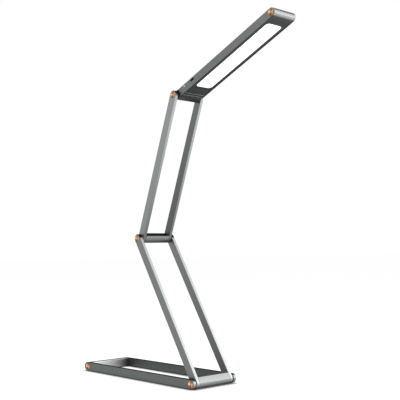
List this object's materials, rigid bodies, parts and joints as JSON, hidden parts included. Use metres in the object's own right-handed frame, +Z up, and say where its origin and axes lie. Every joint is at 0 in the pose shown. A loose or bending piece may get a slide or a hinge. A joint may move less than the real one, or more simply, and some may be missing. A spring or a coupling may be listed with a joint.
{
  "type": "folding led desk lamp",
  "caption": "Folding LED desk lamp: flat base frame, nested arm frames and slim lit head on friction hinges",
  "frame": {"origin": "the middle between the base frame's four rubber feet, on the surface that they stand on", "axes": "+Z up; +X along the base towards its hinge end; +Y towards the rail on the side away from the charging socket"},
  "size_m": [0.4158, 0.0808, 0.4946],
  "materials": {
    "rail": "fine bead-blasted and anodised, mid grey",
    "cross_bar": "fine bead-blasted and anodised, light grey",
    "head_metal": "fine bead-blasted and anodised, mid grey",
    "copper_cap": "face turned in fine rings, copper coloured",
    "axle": "ground",
    "bush": "sintered bronze",
    "spring_washer": "spring steel",
    "screw": "zinc plated",
    "foot": "matt black rubber",
    "hinge_black": "black coated die casting",
    "hinge_cover": "fine texture",
    "bezel": "fine texture, dark grey",
    "diffuser": "opal, lit from behind",
    "reflector": "white",
    "led_board": "white solder mask",
    "led": "yellow phosphor",
    "control_board": "green solder mask",
    "pin": "gold plated",
    "socket_metal": "stamped and plated",
    "socket_insert": "black",
    "switch": "moulded",
    "battery": "foil pouch",
    "tape": "foam tape",
    "tab": "nickel strip",
    "button": "translucent white"
  },
  "bodies": {
    "root": {"base_rail_front": "rail", "base_rail_back": "rail", "base_end_bar": "cross_bar", "base_bar_screws": "screw", "base_end_caps": "copper_cap", "base_bushes": "bush", "base_feet": "foot"},
    "base_axle": {"base_axle": "axle", "base_axle_caps": "copper_cap", "base_spring_washers": "spring_washer"},
    "lower_arm": {"lower_arm_rail_front": "rail", "lower_arm_rail_back": "rail", "lower_arm_bar": "cross_bar", "lower_arm_screws": "screw", "lower_arm_bushes": "bush"},
    "elbow_axle": {"elbow_axle": "axle", "elbow_axle_caps": "copper_cap", "elbow_spring_washers": "spring_washer"},
    "upper_arm": {"upper_arm_rail_front": "rail", "upper_arm_rail_back": "rail", "upper_arm_bar": "cross_bar", "upper_arm_screws": "screw", "upper_arm_bushes": "bush"},
    "head_axle": {"head_axle": "axle", "head_axle_caps": "copper_cap", "head_spring_washers": "spring_washer"},
    "head": {"head_hinge_block": "hinge_black", "head_shell": "head_metal", "head_nose": "cross_bar", "head_nose_caps": "copper_cap", "head_screws": "screw", "hinge_cover": "hinge_cover", "bezel": "bezel", "diffuser": "diffuser", "reflector": "reflector", "led_board": "led_board", "leds": "led", "control_board": "control_board", "board_pins": "pin", "charging_socket": "socket_metal", "socket_tongue": "socket_insert", "tact_switch": "switch", "battery": "battery", "battery_tape": "tape", "battery_tabs": "tab"},
    "power_button": {"power_button": "button"}
  },
  "joints": [
    {"name": "fold", "type": "hinge", "parent": "root", "child": "base_axle", "pos_m": [0.1265, 0, 0.0073], "axis": [0, -1, 0], "range_deg": [0, 58.1]},
    {"name": "base_tilt", "type": "hinge", "parent": "base_axle", "child": "lower_arm", "pos_m": [0.1265, 0, 0.0073], "axis": [0, 1, 0], "range_deg": [0, 70]},
    {"name": "elbow_fold", "type": "hinge", "parent": "lower_arm", "child": "elbow_axle", "pos_m": [0.00126, 0, 0.20851], "axis": [0, 1, 0], "range_deg": [0, 126.4]},
    {"name": "elbow_tilt", "type": "hinge", "parent": "elbow_axle", "child": "upper_arm", "pos_m": [0.00126, 0, 0.20851], "axis": [0, -1, 0], "range_deg": [0, 90]},
    {"name": "head_fold", "type": "hinge", "parent": "upper_arm", "child": "head_axle", "pos_m": [0.08297, 0, 0.41384], "axis": [0, -1, 0], "range_deg": [0, 226.9]},
    {"name": "head_tilt", "type": "hinge", "parent": "head_axle", "child": "head", "pos_m": [0.08297, 0, 0.41384], "axis": [0, 1, 0], "range_deg": [0, 90]},
    {"name": "power_button_press", "type": "slide", "parent": "head", "child": "power_button", "axis": [0, 1, 0], "range_m": [0, 0.0004], "stiffness_N_per_m": 900, "springref_m": -0.0006}
  ],
  "couplings": [
    {"joint": "elbow_fold", "follows": "fold", "ratio": 2.1755},
    {"joint": "head_fold", "follows": "fold", "ratio": 3.9053}
  ]
}
